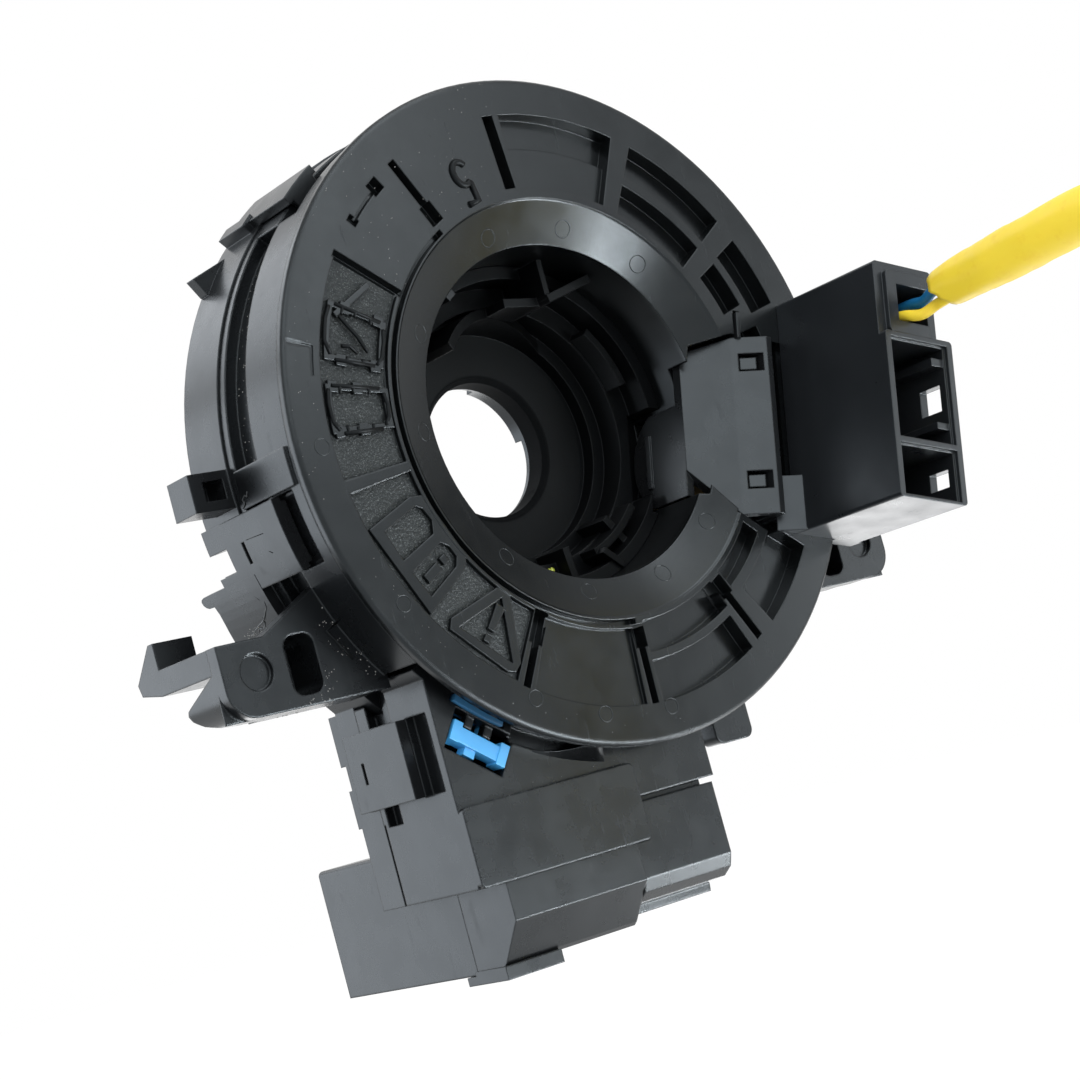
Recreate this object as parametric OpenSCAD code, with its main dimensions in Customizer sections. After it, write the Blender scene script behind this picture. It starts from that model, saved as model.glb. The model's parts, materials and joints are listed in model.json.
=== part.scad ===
// Steering clock spring: a turning flange with its connector tower, a case that holds
// the wound ribbon cable, and a block with two connectors under the case.
// Millimetres. -Y faces the steering wheel, +Y the steering column, +Z is up.
// Stations along Y are measured from the front face of the flange. placed() then moves
// them so that the origin lies on the axis, in the plane where the rear cover seats.
// The turning pieces are drawn in their own directions: u through the tower, w across it.

/* [Flange and bore] */
// Outer radius of the turning flange
flange_r = 47.5; // [47.3:0.1:48.5]
// Inner radius of the flange's flat rim
rim_inner_r = 42.5; // [42:0.1:42.8]
// Outer radius of the smooth ring round the bore
ring_r = 29.8; // [29:0.1:30.1]
// Radius of the bore inside the sleeve
bore_r = 24; // [23.8:0.1:24.4]
// Depth of the plate that carries the panels
plate_depth = 5; // [4.6:0.1:5.2]
// Radius of the hole for the steering shaft
shaft_r = 10.1; // [9:0.1:11]
// Angle of the turning pieces in the photographed pose
rotor_turn = 15; // [0:1:30]

/* [Case] */
// Inner radius of the case
case_inner_r = 43.5; // [43.3:0.1:43.8]
// Wall of the case, from the ribbon's chamber to the outside
case_wall = 3.5; // [3.3:0.1:3.7]
// Station of the joint between case and rear cover
seam_y = 17.4; // [17:0.1:17.8]
// Station of the plane where the rear cover seats
seat_y = 26.5; // [26.3:0.1:27]
// Outer radius of the spigot that centres the part on the column switch
spigot_r = 33.2; // [32.5:0.1:34.5]

/* [Block and ears] */
// Left side of the block
block_left = -34.7; // [-35.2:0.1:-34.2]
// Bottom of the block
block_bottom = -59.6; // [-60.2:0.1:-59]
// Station of the block's front face
block_front = 4.5; // [4.3:0.1:4.8]
// Wall of the block
block_wall = 2; // [1.6:0.1:2.4]
// Reach of each fixing ear from the axis
ear_reach = 60.2; // [59.5:0.1:62]

/* [Connectors] */
// Left side of the rear connector
conn_left = -30.5; // [-31:0.1:-30]
// Side shared by the two connectors
conn_split = -7.7; // [-8:0.1:-7.4]
// Station of the rear connector's mouth
conn_mouth_y = 47.8; // [44:0.1:52]
// Bottom of the rear connector
conn_bottom = -70.8; // [-71.4:0.1:-70.2]
// Wall of the connectors
conn_wall = 1.5; // [1.2:0.1:1.7]

/* [Tower] */
// Height of the tower in front of the flange
tower_h = 22; // [20.5:0.1:24]
// Side of the tower that faces the bore
tower_in = 37.6; // [37.5:0.1:38]
// Side of the tower that faces outwards
tower_out = 50.6; // [50.2:0.1:51.2]
// Wall of the sockets
tower_wall = 1.4; // [1.2:0.1:1.5]
// Depth of the sockets
socket_depth = 17; // [15:0.1:18]

/* [Roller carrier] */
// Room for the ribbon at each side of the rollers
roller_room = 2.5; // [2.3:0.1:3]
// Number of ribbon turns at each side of the rollers
ribbon_turns = 2; // [1:1:3]

/* [Lead] */
// Radius of the yellow lead
lead_r = 3.7; // [3.4:0.1:3.9]

/* [Hidden] */
$fn = 96;

far = 90;                  // reach of the sector shapes, past every radius
run_clear = 0.05;          // running fit, radial
sleeve_wall = 2.5;
sleeve_r = bore_r + sleeve_wall;
sleeve_end = 20.6;
rim_back = 1.7;
case_r = case_inner_r + case_wall;
case_front = 2.1;
plate_r = case_inner_r - 0.6;
groove_r = case_inner_r + 1.7;
roller_orbit_r = (sleeve_r + case_inner_r) / 2;
roller_r = (case_inner_r - sleeve_r) / 2 - roller_room;
roller_front = 6.8;
roller_len = 13.2;
cover_front = 23;
cover_back = 24.9;
cover_opening_r = sleeve_r + 0.8;
hub_back = 26.6;
seam_block = 21.8;
block_rear = 27.2;
wing_right = 8.9;
wing_bottom = -53.7;
tower_foot = 3.2;          // station of the cable channel's floor under the tower cover
cover_crease = 28.6;       // where the tower cover's two slopes meet
cover_edge = 33;           // edge of the cover's steep slope, short of the tower
gusset_top = -6;           // upper end of the tower's gusset beside the cover
pin_half = 0.32;           // half width of a square terminal
roller_pin_r = 1.5;
ribbon = 0.3;              // thickness of the ribbon cable with its slack
ribbon_front = 6.2;
ribbon_back = 19.8;

black = "#2b2e31";
grey_black = "#3a3d41";
blue = "#3fa2e8";
yellow = "#f7cf2e";

// Route of the yellow lead, in the row frame
lead_route = [
    [47, -53, 3.5], [47, -61, 4], [47, -70, 4.5], [47, -78, 5], [47, -84, 5],
    [47, -89, 3.5], [47, -93.5, 0], [47, -96.5, -5], [47, -98, -11],
    [47, -98, -20], [47, -98, -30], [47, -98, -40], [47, -98, -48]
];
// Routes of the two wires from the tower's chamber into the lead
blue_route = [
    [48, -41, 3.5], [48, -46, 3.5], [47.8, -49, 3.2], [47.4, -51.5, 3.9], [47.2, -56, 4.4]
];
yellow_route = [
    [45.5, -41, 2], [45.5, -46, 2], [46, -49.5, 1.2], [46.8, -52, 1.8], [46.8, -56, 2.2]
];

function polar(r, a) = [r * cos(a), r * sin(a)];
function unit(v) = v / norm(v);

// Frames and primitives

module placed() translate([0, -seat_y, 0]) children();

module rotor_frame() placed() rotate([0, rotor_turn, 0]) children();

// A 2D shape drawn in X and Z, made into a plate from station y0 to y1
module slab(y0, y1) translate([0, y1, 0]) rotate([90, 0, 0]) linear_extrude(y1 - y0) children();

// A 2D shape drawn in Y and Z, made into a bar from x0 to x1
module bar(x0, x1) translate([x0, 0, 0]) rotate([90, 0, 90]) linear_extrude(x1 - x0) children();

// A 2D shape drawn in X and Y, made into a prism from z0 to z1
module prism(z0, z1) translate([0, 0, z0]) linear_extrude(z1 - z0) children();

// A 2D profile drawn as (radius, station), turned about the axis
module turned() rotate([-90, 0, 0]) rotate_extrude() children();

module block(x0, x1, y0, y1, z0, z1)
    translate([x0, y0, z0]) cube([x1 - x0, y1 - y0, z1 - z0]);

module wedge(a0, a1) {
    steps = ceil((a1 - a0) / 30);
    polygon(concat([[0, 0]], [for (i = [0:steps]) polar(far, a0 + (a1 - a0) * i / steps)]));
}

module ring2d(r0, r1) difference() {
    circle(r1);
    circle(r0);
}

module arc_slab(r0, r1, a0, a1, y0, y1) slab(y0, y1) intersection() {
    ring2d(r0, r1);
    wedge(a0, a1);
}

module tube_slab(r0, r1, y0, y1) slab(y0, y1) ring2d(r0, r1);

// A rectangle with rounded corners between two opposite corners
module round_rect(x0, x1, y0, y1, r) {
    translate([x0 + r, y0]) square([x1 - x0 - 2 * r, y1 - y0]);
    translate([x0, y0 + r]) square([x1 - x0, y1 - y0 - 2 * r]);
    for (x = [x0 + r, x1 - r], y = [y0 + r, y1 - r]) translate([x, y]) circle(r, $fn = 24);
}

// A radial slot with its middle at angle a
module radial_slot(a, r0, r1, width, y0, y1)
    slab(y0, y1) rotate(a) translate([r0, -width / 2]) square([r1 - r0, width]);

// A tube swept along a route, closed at both ends
module swept(route, r, sides) {
    count = len(route);
    function along(i) = unit(route[min(i + 1, count - 1)] - route[max(i - 1, 0)]);
    side = [1, 0, 0];
    function ring(i) = let (t = along(i), up = unit(cross(t, side)), out = cross(up, t))
        [for (k = [0:sides - 1]) let (a = 360 * k / sides)
            route[i] + r * (cos(a) * out + sin(a) * up)];
    polyhedron(
        points = [for (i = [0:count - 1]) each ring(i)],
        faces = concat(
            [[for (k = [0:sides - 1]) k]],
            [for (i = [0:count - 2], k = [0:sides - 1])
                [i * sides + k, (i + 1) * sides + k,
                 (i + 1) * sides + (k + 1) % sides, i * sides + (k + 1) % sides]],
            [[for (k = [sides - 1:-1:0]) (count - 1) * sides + k]]
        )
    );
}

// Turning flange with its sleeve

panel_floor = 0.75;        // depth of the textured panels, and the height of the frames on them
// Recessed panels: first and last angle, inner and outer radius, depth
dial_panels = [
    [159.3, 202.1, 31.6, 41.9, panel_floor], [-155.5, -108.6, 31.6, 41.9, panel_floor],
    [-104.6, -79, 31.6, 42.1, 0.7],
    [-75, -48, 30.9, 35.3, 2.4], [-75, -49, 36.5, 42.2, 2.4],
    [-43.6, -26, 30.9, 33.8, 2.4], [-41, -22, 35.4, 42.2, 2.8],
    [33, 44.4, 32.4, 36.3, 2.8], [30, 44.8, 37.6, 42.3, 2.8],
    [49.8, 74.2, 31, 35.8, 2.4], [49.8, 74.2, 37.2, 42.3, 2.4],
    [78.8, 106, 31.2, 37.6, 1.2], [78.8, 106, 37.6, 42.3, 2.4]
];
// Radial grooves between panels: angle, inner and outer radius, width, depth
dial_grooves = [
    [108.7, 31.6, 42.3, 1.9, 2.4], [135, 34.5, 42.2, 1.3, 2],
    [135, 31.8, 34.9, 2.3, 2], [159, 30.6, 42.2, 1.1, 1.4],
    [-106.5, 35.5, 42.2, 1.2, 2.2], [-106.5, 31.2, 36, 2.2, 2.2],
    [-77, 34, 42.2, 1.2, 2.4], [-77, 31.2, 34.4, 2.2, 2.4],
    [-46, 34, 42, 1.3, 2.2], [-46, 31.2, 34.4, 2.3, 2.2]
];

// Places across the tower of the posts that hold the snap cover
cover_posts = [10.7, -7.1];

module flange_blank() turned() polygon([
    [bore_r, 2.5], [ring_r, 0.25], [ring_r + 0.3, 0], [flange_r - 0.35, 0],
    [flange_r, 0.35], [flange_r, rim_back - 0.3], [flange_r - 0.3, rim_back],
    [plate_r, rim_back], [plate_r, plate_depth],
    [sleeve_r, plate_depth], [sleeve_r, sleeve_end], [bore_r, sleeve_end]
]);

module dial() {
    for (p = dial_panels) arc_slab(p[2], p[3], p[0], p[1], -1, p[4]);
    for (g = dial_grooves) radial_slot(g[0], g[1], g[2], g[3], -1, g[4]);
    arc_slab(ring_r + 0.5, ring_r + 1.3, 136, 283, -1, 1.3);
    // Bolt-like pit and neck of the plain panel
    rotate([0, -141.6, 0]) block(40.4, 42.4, -1, 1.8, -1.1, 1.1);
    arc_slab(40.9, 41.4, 141.6, 150.4, -1, 0.8);
    rotate([0, -150.8, 0]) block(40.6, 42.2, -1, 1.2, -0.6, 0.6);
    // Index line on the rim
    arc_slab(42.9, 43.3, 177.6, 183, -1, 0.25);
    radial_slot(177.8, 43.1, 46.9, 0.35, -1, 0.25);
}

// Footprint of the tower cover, grown by some room
module cover_outline(room) polygon([
    [22 - room, -5 - room], [cover_crease - room, -12.2 - room], [tower_in + room, -12.2 - room],
    [tower_in + room, 14.6 + room], [cover_crease - room, 14.6 + room], [22 - room, 12.3 + room]
]);

// A frame of one width round a sector
module sector_frame(r0, r1, a0, a1, width) {
    turn = width / (r0 + r1) * 360 / PI;
    difference() {
        intersection() {
            ring2d(r0, r1);
            wedge(a0, a1);
        }
        intersection() {
            ring2d(r0 + width, r1 - width);
            wedge(a0 + turn, a1 - turn);
        }
    }
}

// A plate between corners given as (radius, angle), with windows given the same way
module polar_plate(corners, windows = []) difference() {
    polygon([for (c = corners) polar(c[0], c[1])]);
    for (w = windows) polygon([for (c = w) polar(c[0], c[1])]);
}

module tick(r, a, length, width) rotate(a) translate([r - length / 2, -width / 2]) square([length, width]);

// Raised frames of the textured panels, all of plain generic outline
module panel_frames() slab(0.05, panel_floor + 0.1) {
    sector_frame(32.2, 41.2, 168, 179.6, 0.75);
    for (a = [168.4, 179.2], r = [33.4, 38.6]) tick(r, a, 1.5, 1.6);
    rotate(170.5) translate([39.9, 0]) rotate(53) translate([-7.4, -0.4]) square([7.4, 0.8]);
    sector_frame(31.8, 41.3, 184.2, 193.6, 0.75);
    for (a = [184.6, 193.2], r = [36.4, 40.2]) tick(r, a, 1.4, 1.6);
    polar_plate(
        [[41.5, 211.6], [33.4, 209.8], [31.6, 210.8], [31.2, 213], [31.2, 228.4],
            [32, 229.8], [33.2, 230.6], [41.5, 230.4]],
        [[[39.6, 213.4], [33.4, 212.2], [32.5, 213.6], [32.2, 217], [33.2, 219.6], [39.5, 219.8]],
            [[39.5, 222.6], [33.2, 222.2], [32.4, 224.4], [32.5, 227.2], [33.6, 228.6], [39.6, 228.4]]]
    );
    tick(37, 225.6, 2.8, 1.3);
    tick(34.3, 225.4, 1.1, 1.1);
    polar_plate(
        [[41.2, 235], [39.8, 234], [31.8, 239.8], [31.1, 241.6], [31.5, 243.8], [39.4, 251.2],
            [40.9, 250.6], [41.4, 249]],
        [[[40, 236.3], [32.5, 242.1], [40, 249.6]]]
    );
    polar_plate([[33.6, 241.4], [33.6, 243.9], [37.5, 243.4], [37.5, 241.9]]);
    tick(38.8, 242.7, 1, 1);
}

module rotor_flange() color(black) rotor_frame() {
    difference() {
        flange_blank();
        dial();
        // Cable channel from the ring to the tower, and the seat of its cover
        arc_slab(ring_r - 0.1, tower_in - 0.2, -24, 27, -1, tower_foot);
        slab(-1, tower_foot) cover_outline(0.35);
        slab(-1, 6.9) intersection() {
            cover_outline(0.35);
            translate([0, -20]) square([ring_r - 0.6, 40]);
        }
        block(bore_r - 4, sleeve_r + 1, 2, 17.8, -9.4, 5.4);
        // Room for the rib at the upper end of the cover
        block(28.9, 30.1, -1, 2.4, 14.3, 18.6);
    }
    // Posts that rise into the windows of the snap cover
    for (w = cover_posts)
        prism(w - 0.9, w + 0.9)
            polygon([[30, tower_foot + 0.2], [30, 0.5], [32, -0.9], [32.2, tower_foot + 0.2]]);
    panel_frames();
    // Small lug inside the sleeve
    arc_slab(bore_r - 1.4, bore_r + 0.2, 139, 143, 4.6, 9);
}

// Rear hub with its steps, star ribs and rear flange

// A straight wall between two places given as (radius, angle)
module wall(from, to, width, y0, y1) slab(y0, y1) {
    start = polar(from[0], from[1]);
    end = polar(to[0], to[1]);
    across = width / 2 * unit([start[1] - end[1], end[0] - start[0]]);
    polygon([start - across, end - across, end + across, start + across]);
}

// Ribs that meet like a star over the steps of the hub, and the wall with the ramp below them
module star_ribs() {
    function ramp(u) = 12 + 0.48 * (u + 8.75);
    difference() {
        arc_slab(17, 18.4, 50, 150, 8, 20.2);
        prism(0, 24) polygon([[-24, 0], [24, 0], [24, ramp(24)], [-24, ramp(-24)]]);
    }
    wall([18, 88], [bore_r - 0.4, 92], 0.9, 7, 16.2);
    wall([17.8, 89], [bore_r - 0.4, 70.5], 1.2, 6.6, 16.2);
    wall([18.2, 87], [17.8, 109], 1.3, 9, 16.2);
    for (span = [[28, 56], [-58, -27]]) arc_slab(19.3, 20.5, span[0], span[1], 12.5, 16.2);
    wall([20, -57], [bore_r - 0.4, -52], 1, 11, 16.2);
    for (a = [-70, -40, -150, 175]) radial_slot(a, 17.4, 22.4, 1.2, 13.5, 20.2);
}

module rotor_hub() color(black) rotor_frame() difference() {
    union() {
        turned() polygon([
            [22, 11.5], [bore_r - run_clear, 11.5], [bore_r - run_clear, sleeve_end],
            [sleeve_r, sleeve_end], [sleeve_r, 22.7], [sleeve_r + 0.4, 22.7],
            [sleeve_r + 0.4, cover_back + 0.3], [sleeve_r + 2.9, cover_back + 0.3],
            [sleeve_r + 2.9, hub_back], [shaft_r, hub_back], [shaft_r, 23.4],
            [shaft_r + 0.6, 22.8], [17, 22.3], [17, 20], [19, 20], [19, 16], [22, 16]
        ]);
        star_ribs();
    }
    // Room for the tongue of the tower cover
    block(20.8, bore_r + 1, 8, 17.9, -10, 6);
}

module cancel_cam() color(grey_black) rotor_frame() {
    tube_slab(shaft_r + 0.2, 14.2, hub_back, hub_back + 1);
    for (turn = [0, 180]) arc_slab(shaft_r + 0.2, 14.2, turn + 22, turn + 84, hub_back, hub_back + 2.4);
    for (turn = [0, 180]) arc_slab(13, 18.5, turn + 112, turn + 150, hub_back, hub_back + 2.4);
}

// Connector tower

socket_a = [-5.1, 9.1];
socket_b = [-13.5, -6.5];

module tower_shell() {
    slab(-tower_h, 0) round_rect(tower_in, tower_out, -14.2, 10.2, 0.6);
    slab(-tower_h + 1.3, 0) round_rect(tower_in, tower_out - 1.6, 8.6, 21, 0.6);
    // Raised frame round the wire chamber
    slab(-tower_h + 0.5, -tower_h + 2) round_rect(39.2, 47.2, 10.3, 19.7, 0.8);
    // Gusset on the side that faces the bore
    prism(-14.2, gusset_top)
        polygon([[cover_edge + 1.1, -0.05], [tower_in + 0.1, -2.6], [tower_in + 0.1, -0.05]]);
    block(cover_edge + 1.2, tower_in + 0.1, -0.1, tower_foot, -12.4, gusset_top);
    // Skirt outside the rim
    difference() {
        slab(-0.1, 2.4) translate([tower_in, -14.2]) square([tower_out - tower_in, 24.4]);
        tube_slab(0, flange_r + 0.1, -2, 3);
    }
}

module socket_cut(span, deep) {
    block(tower_in + tower_wall, tower_out - tower_wall, -tower_h - 1, -tower_h + deep, span[0], span[1]);
    // Flared lead-in
    slab(-tower_h - 0.1, -tower_h + 0.6)
        translate([tower_in + tower_wall - 0.4, span[0] - 0.3])
            square([tower_out - tower_in - 2 * tower_wall + 0.8, span[1] - span[0] + 0.6]);
}

module tower_housing() color(black) rotor_frame() {
    difference() {
        tower_shell();
        socket_cut(socket_a, socket_depth);
        socket_cut(socket_b, socket_depth);
        // Wire chamber
        block(41.1, 47.6, -tower_h - 1, -4, 12.2, 17.7);
        // Latch windows in the outer wall
        block(tower_out - 2, tower_out + 1, -tower_h + 1.8, -tower_h + 5.8, 0.2, 4.1);
        block(tower_out - 2, tower_out + 1, -tower_h + 1.8, -tower_h + 5.5, -11.1, -8.5);
    }
    // Keys on the outer wall of the sockets
    for (w = [[6.4, 7.6], [-3, -2]])
        block(47, tower_out - tower_wall + 0.1, -tower_h + 0.8, -tower_h + socket_depth, w[0], w[1]);
}

module tower_cover() color(grey_black) rotor_frame() {
    difference() {
        intersection() {
            prism(-13, 15.5) polygon([
                [22.2, 5], [cover_crease, 0.8], [cover_edge, -2.3], [cover_edge + 0.9, -2.3],
                [cover_edge + 0.9, 1.9], [tower_in - 0.1, 1.9], [tower_in - 0.1, 2.9],
                [cover_edge - 0.4, 2.9], [cover_edge - 0.4, -0.4], [cover_crease + 0.3, 2.3],
                [23.6, 5.9], [23.6, 6.6], [22.2, 6.6]
            ]);
            slab(-3, 8) cover_outline(0);
        }
        block(29.5, cover_edge - 0.5, -3, 2.5, 9.4, 12.1);
        block(29.5, cover_edge - 0.5, -3, 2.5, -8.4, -5.7);
        // Room for the tower's gusset
        block(cover_edge + 0.95, tower_in + 1, -3, 4, -13, gusset_top + 0.2);
    }
    // Tongue down the wall of the bore
    intersection() {
        union() {
            block(22.2, 23.5, 5.2, 9, -9, 5);
            translate([22.2, 9, -2]) rotate([0, 90, 0]) cylinder(h = 1.3, r = 8);
        }
        block(22, 24, 5.2, 17.2, -9, 5);
    }
    // Step across the tongue
    block(21.8, 22.3, 12.6, 13.6, -6, 2);
    // Thin rib at the upper end
    block(29.2, 29.8, -0.4, 2, 14.4, 18.3);
}

// A grid of square terminals that points towards -Y
module tower_pins(us, ws, tip, root)
    for (u = us, w = ws) block(u - pin_half, u + pin_half, tip, root, w - pin_half, w + pin_half);

module tower_terminals_a() color("#c8b88a") rotor_frame()
    tower_pins([42, 45.6], [-2.4, 0.6, 3.6, 6.4], -tower_h + 8.5, -tower_h + socket_depth + 1.5);

module tower_terminals_b() color("#c8b88a") rotor_frame()
    tower_pins([42, 45.6], [-11.6, -8.6], -tower_h + 8.5, -tower_h + socket_depth + 1.5);

// Wires, lead and plug

module wire_blue() color("#1f6f9f") swept(blue_route, 0.8, 8);

module wire_yellow() color(yellow) swept(yellow_route, 0.8, 8);

module airbag_lead() color(yellow) swept(lead_route, lead_r, 12);

lead_end = lead_route[len(lead_route) - 1];

module airbag_plug() color(yellow) translate(lead_end) difference() {
    union() {
        translate([0, 0, -4]) cylinder(h = 4, r = lead_r + 0.8);
        translate([-6, -5, -14]) cube([12, 10, 10.2]);
        for (side = [-1, 1]) translate([side * 6 - 0.6, -2, -12]) cube([1.2, 4, 7]);
    }
    translate([-4.6, -3.4, -15]) cube([9.2, 6.8, 7]);
}

module plug_lock() color("#e8e4d8") translate(lead_end) {
    translate([-3.5, -6.4, -12]) cube([7, 1.4, 8]);
    translate([-2.5, -7.2, -11]) cube([5, 0.9, 1.4]);
}

// Case

step_angle = 136.5;
block_arc = [-141, -78];

module case_bands() {
    // Lower and left stretch
    for (span = [[step_angle, 219], [block_arc[1], -20]]) {
        arc_slab(groove_r - 0.1, case_r, span[0], span[1], case_front, 10.2);
        arc_slab(groove_r - 0.1, case_r, span[0], span[1], 15.8, seam_y);
    }
    // Upper stretch, where the groove lies further forward
    arc_slab(groove_r - 0.1, case_r, -20, step_angle, case_front, 5.6);
    arc_slab(groove_r - 0.1, case_r, -20, step_angle, 10.4, seam_y);
    // Pad that bridges the groove beside the clip box
    arc_slab(groove_r - 0.1, case_r + 0.4, 178.8, 185, 2.9, 15.9);
}

module block_outline(inset = 0) polygon([
    [block_left + inset, -29 - inset], [block_left + inset, block_bottom + inset],
    [-5.2 - inset, block_bottom + inset], [-5.2 - inset, wing_bottom + inset],
    [wing_right - inset, wing_bottom + inset], [wing_right - inset, -44]
]);

module block_section(inset = 0) difference() {
    union() {
        block_outline(inset);
        intersection() {
            circle(case_r);
            wedge(-140, -78);
        }
    }
    circle(case_inner_r + 1.2);
}

window_tabs = [-1.9, 1.2];

// The window's own directions: along its length and across it
window_at = polar(case_r + 3.2, -124.7);
module at_window() translate([window_at[0], 0, window_at[1]]) rotate([0, 36, 0]) children();

module case_block() difference() {
    union() {
        slab(block_front, seam_block) block_section();
        // Raised plate with a rounded lower edge
        slab(block_front - 1, block_front + 0.2) round_rect(block_left, -5.5, block_bottom, -49, 0.7);
    }
    slab(block_front + block_wall, seam_block + 1) difference() {
        block_outline(block_wall);
        circle(case_r - 0.5);
    }
    // Window for the retainer, with two tabs of the case left in it, and slot for its arc strip
    at_window() difference() {
        block(-4.8, 4.8, 0, 8, -2.9, 2.9);
        for (x = window_tabs) block(x - 0.6, x + 0.6, block_front + 0.6, block_front + block_wall, 1.2, 3);
    }
    arc_slab(case_r - 1.2, case_r + 0.1, -132, -121, 2, 8.1);
    // Crescent recess under the flange
    arc_slab(case_r - 1, case_r + 1.4, -119.5, -101.7, 2, block_front + 1.1);
    // Pocket ahead of the latch on the left wall, the notch behind it and the neck below the ear
    block(block_left - 1, block_left + 1.4, 6, 10.7, -46.3, -35.8);
    block(block_left - 1, block_left + 1.4, 17.2, 20.7, -48.9, -46.3);
    block(block_left - 1, block_left + 1.4, 14, 19.3, -35.6, -30);
    // Shadow line of the joint with the rear cover
    block(block_left - 1, block_left + 0.6, seam_block - 0.35, seam_block + 1, block_bottom - 1, -48.5);
}

ear_round = 4;

// Ear on the left, with its slot, dimple, gusset and hook arm
module ear() {
    difference() {
        union() {
            slab(10, 12.4) difference() {
                union() {
                    polygon([
                        [-36, -12], [-42.6, -15.8], [-53, -21.4], [-ear_reach, -21.5],
                        [-ear_reach, -27.4], [-ear_reach + ear_round, -31.4], [-36, -31.4]
                    ]);
                    translate([-ear_reach + ear_round, -31.4 + ear_round]) circle(ear_round);
                }
                circle(groove_r - 0.2);
            }
            // Walls round the slot and the gusset behind the plate
            bar(-ear_reach, -ear_reach + 7) polygon([
                [12, -22.5], [12.4, -24.8], [20.3, -28], [20.8, -28.6], [20.6, -29.4],
                [19.4, -30.4], [17.5, -31.1], [15.5, -31.4], [12, -31.4]
            ]);
            difference() {
                block(-53.4, -37, 12, 18, -31.4, -21.5);
                slab(11, 19) circle(groove_r - 0.2);
            }
        }
        // Slot, closed behind
        slab(9, 17) round_rect(-50.4, -45.8, -29.9, -22, 1.6);
        // Dimple
        slab(9, 10.8) translate([-55.1, -25.7]) circle(2.4, $fn = 32);
        // Rounded outer corner, carried through the gusset
        slab(12.3, 22) difference() {
            translate([-ear_reach - 1, -32.4]) square([ear_round + 1, ear_round + 1]);
            translate([-ear_reach + ear_round, -31.4 + ear_round]) circle(ear_round);
        }
    }
    // Hook arm
    bar(-60, -54) polygon([
        [12, -21.5], [25.3, -21.5], [25.3, -17.9], [26.6, -17.9], [31.6, -22.4],
        [31.1, -24], [26, -24.9], [12, -24.9]
    ]);
}

module right_ear() mirror([1, 0, 0]) ear();

module stator_case() color(black) placed() difference() {
    union() {
        tube_slab(case_inner_r, groove_r, case_front, seam_y + 2);
        case_bands();
        case_block();
        ear();
        right_ear();
        // Lug at the lower right
        difference() {
            slab(13.5, 17) round_rect(19.4, 26.5, -case_r - 3, -case_r + 9, 1.4);
            slab(13, 18) circle(groove_r - 0.2);
        }
    }
    // Pocket in the band for the hook of the cover's upper latch
    arc_slab(case_r - 1.1, case_r + 1, 185.3, 197.6, 4.4, 9.3);
    // Room for the cover's skirt
    tube_slab(groove_r + 0.05, case_r + 0.6, seam_y, seam_block + 1);
    // The ring chamber stays clear of the block
    tube_slab(0, case_inner_r, case_front - 1, seam_y + 3);
}

// Rear cover

module cover_block() difference() {
    union() {
        slab(seam_block, block_rear) difference() {
            block_outline();
            circle(case_r);
        }
        slab(block_rear - 0.1, block_rear + 0.8)
            translate([block_left, -48.1]) square([9, 5.3]);
        slab(block_rear - 0.1, block_rear + 1.2)
            translate([block_left, -39.4]) square([4, 7.5]);
    }
    slab(seam_block - 1, block_rear - block_wall) difference() {
        block_outline(block_wall);
        circle(case_r + 0.6);
    }
    // Behind the seating plane the block stays clear of the ring that seats
    slab(seat_y, block_rear + 2) circle(case_r + 0.5);
}

// Upper latch arm with its slit, its hook in the band's pocket and the finger behind it
module upper_latch() {
    r0 = case_r + 0.2;
    r1 = case_r + 1.5;
    difference() {
        arc_slab(r0, r1, 185.5, 197.4, 7.4, seat_y - 0.5);
        arc_slab(r0 - 1, r1 + 1, 189.6, 193.2, 16.9, 17.6);
        arc_slab(r0 - 1, r1 + 1, 189.5, 193.5, 21.5, seat_y);
    }
    arc_slab(case_r - 0.6, case_r + 0.3, 186.2, 196.7, 7.4, 9);
    // Finger and its gusset
    arc_slab(case_r + 0.5, r1, 194.9, 196.9, seat_y - 1, 31.6);
    for (i = [0:2]) arc_slab(case_r + 0.5, r1, 196.8 + 2 * i, 198.9 + 2 * i, 18, 28.3 - 0.9 * i);
    arc_slab(r0, r1, 196.8, 202.8, 18, 26);
}

module rear_cover() color(grey_black) placed() {
    difference() {
        union() {
            tube_slab(groove_r + 0.3, case_r + 0.3, seam_y, seat_y);
            tube_slab(cover_opening_r, groove_r + 0.6, cover_front, cover_back);
            cover_block();
        }
        // Notches in the rear edge by the upper latch
        arc_slab(case_r - 1.5, case_r + 1, 189.5, 193.4, 21.5, seat_y + 1);
    }
    // Spigot for the column switch
    tube_slab(spigot_r - 2.2, spigot_r, cover_back - 0.1, seat_y + 2);
    // Stiffening ribs behind the plate
    for (a = [12:24:348]) radial_slot(a, spigot_r + 5, groove_r + 0.5, 1.4, cover_back - 0.1, seat_y - 0.3);
    upper_latch();
    // Snap arm at the upper left, with its hook, its side strip and a fin below it
    arc_slab(case_r + 0.2, case_r + 1.5, 124.5, 132.8, 9.2, 24);
    arc_slab(case_r + 0.2, case_r + 1.9, 131.2, 134, 19, 25.6);
    arc_slab(groove_r + 0.3, case_r + 0.3, 125.5, 131.8, 9.2, 10.2);
    slab(24.4, seat_y - 0.2) polar_plate([
        [case_r - 0.8, 136.6], [case_r + 0.3, 136.9], [case_r + 3.2, 143.4],
        [case_r + 0.5, 144.6], [case_r - 0.8, 144]
    ]);
    // Clip box, closed behind
    difference() {
        block(-case_r - 6.3, -case_r, 17.5, 23, -3.3, 1.9);
        block(-case_r - 4.3, -case_r - 1.2, 16, 22, -2, 0.7);
    }
    // Latch on the left wall of the block
    difference() {
        block(block_left - 1.6, block_left, 10.7, 24, -46.3, -35.8);
        block(block_left - 2, block_left + 0.4, 20.4, 21, -42.7, -39.8);
    }
}

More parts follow.
